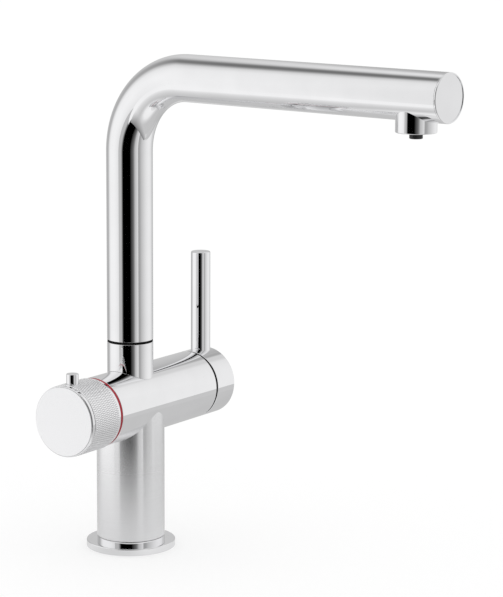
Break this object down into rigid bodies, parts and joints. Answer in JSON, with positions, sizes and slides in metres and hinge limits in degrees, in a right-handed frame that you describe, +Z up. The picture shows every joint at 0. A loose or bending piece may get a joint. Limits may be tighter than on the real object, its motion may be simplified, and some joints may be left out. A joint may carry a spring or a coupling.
{
  "type": "boiling water tap",
  "caption": "Single-hole kitchen tap with a swivelling L-shaped spout, a side lever for mixed water and a knurled child-safe knob for boiling water.",
  "frame": {"origin": "centre of the tap's base on the worktop, at the underside of the base gasket", "axes": "+Z up along the column, +X along the barrel from the boiling water knob towards the mixer lever, -Y towards the user, the way the spout points (at rest the spout is swivelled 5 degrees from -Y towards the knob)"},
  "size_m": [0.1486, 0.2578, 0.3042],
  "materials": {
    "chrome": "polished chrome plate on brass",
    "satin_chrome": "fine satin chrome plate on brass",
    "satin_face": "bead-blasted satin",
    "red_ring": "dark red moulding",
    "black_plastic": "moulded black",
    "dark_plastic": "moulded dark grey",
    "pale_plastic": "moulded pale grey",
    "rubber": "black sealing rubber",
    "valve_ceramic": "lapped alumina",
    "raw_brass": "machined brass",
    "copper": "drawn copper tube",
    "screw_steel": "plain stainless steel"
  },
  "bodies": {
    "root": {"base_gasket": "rubber", "base_flange": "chrome", "inlet_block": "raw_brass", "cold_riser": "copper", "hot_riser": "copper", "boiling_riser": "copper", "column": "satin_chrome", "mixer_body": "chrome", "spout_collar": "chrome", "swivel_washer": "black_plastic", "swivel_bushes": "pale_plastic", "spout_stop_screw": "screw_steel", "cartridge_seal": "rubber", "cartridge_fixed_disc": "valve_ceramic", "cartridge_housing": "pale_plastic", "cartridge_nut": "raw_brass", "lever_slide_ring": "dark_plastic", "red_ring": "red_ring", "valve_headwork": "raw_brass", "valve_seal": "rubber", "valve_fixed_disc": "valve_ceramic", "guide_sleeve": "dark_plastic"},
    "spout": {"spout_spigot": "raw_brass", "spigot_o_rings": "rubber", "spout_tube": "chrome", "spout_end_cap": "chrome", "outlet_collar": "chrome", "aerator_insert": "pale_plastic", "aerator_seal": "rubber", "boiling_nozzle": "black_plastic", "boiling_inner_tube": "pale_plastic", "inner_tube_tail": "raw_brass", "tail_o_ring": "rubber"},
    "lever": {"cartridge_moving_disc": "valve_ceramic", "cartridge_spindle": "pale_plastic", "lever_cap": "chrome", "lever_rod": "chrome", "lever_grub_screw": "screw_steel"},
    "knob": {"valve_moving_disc": "valve_ceramic", "valve_spindle": "raw_brass", "knob_sleeve": "chrome", "knob_hub": "dark_plastic", "knob_face": "satin_face", "knob_screw": "screw_steel"},
    "button": {"safety_button": "chrome", "button_spring": "screw_steel"}
  },
  "joints": [
    {"name": "spout_swivel", "type": "hinge", "parent": "root", "child": "spout", "pos_m": [0, 0, 0.128], "axis": [0, 0, 1], "range_deg": [-115, 125]},
    {"name": "lever_turn", "type": "hinge", "parent": "root", "child": "lever", "pos_m": [0.0643, 0, 0.09], "axis": [1, 0, 0], "range_deg": [0, 90]},
    {"name": "knob_turn", "type": "hinge", "parent": "root", "child": "knob", "pos_m": [-0.0516, 0, 0.09], "axis": [1, 0, 0], "range_deg": [0, 90]},
    {"name": "button_press", "type": "slide", "parent": "knob", "child": "button", "axis": [0, 0, -1], "range_m": [0, 0.002], "stiffness_N_per_m": 300, "springref_m": -0.002, "deforming": ["button_spring"]}
  ]
}
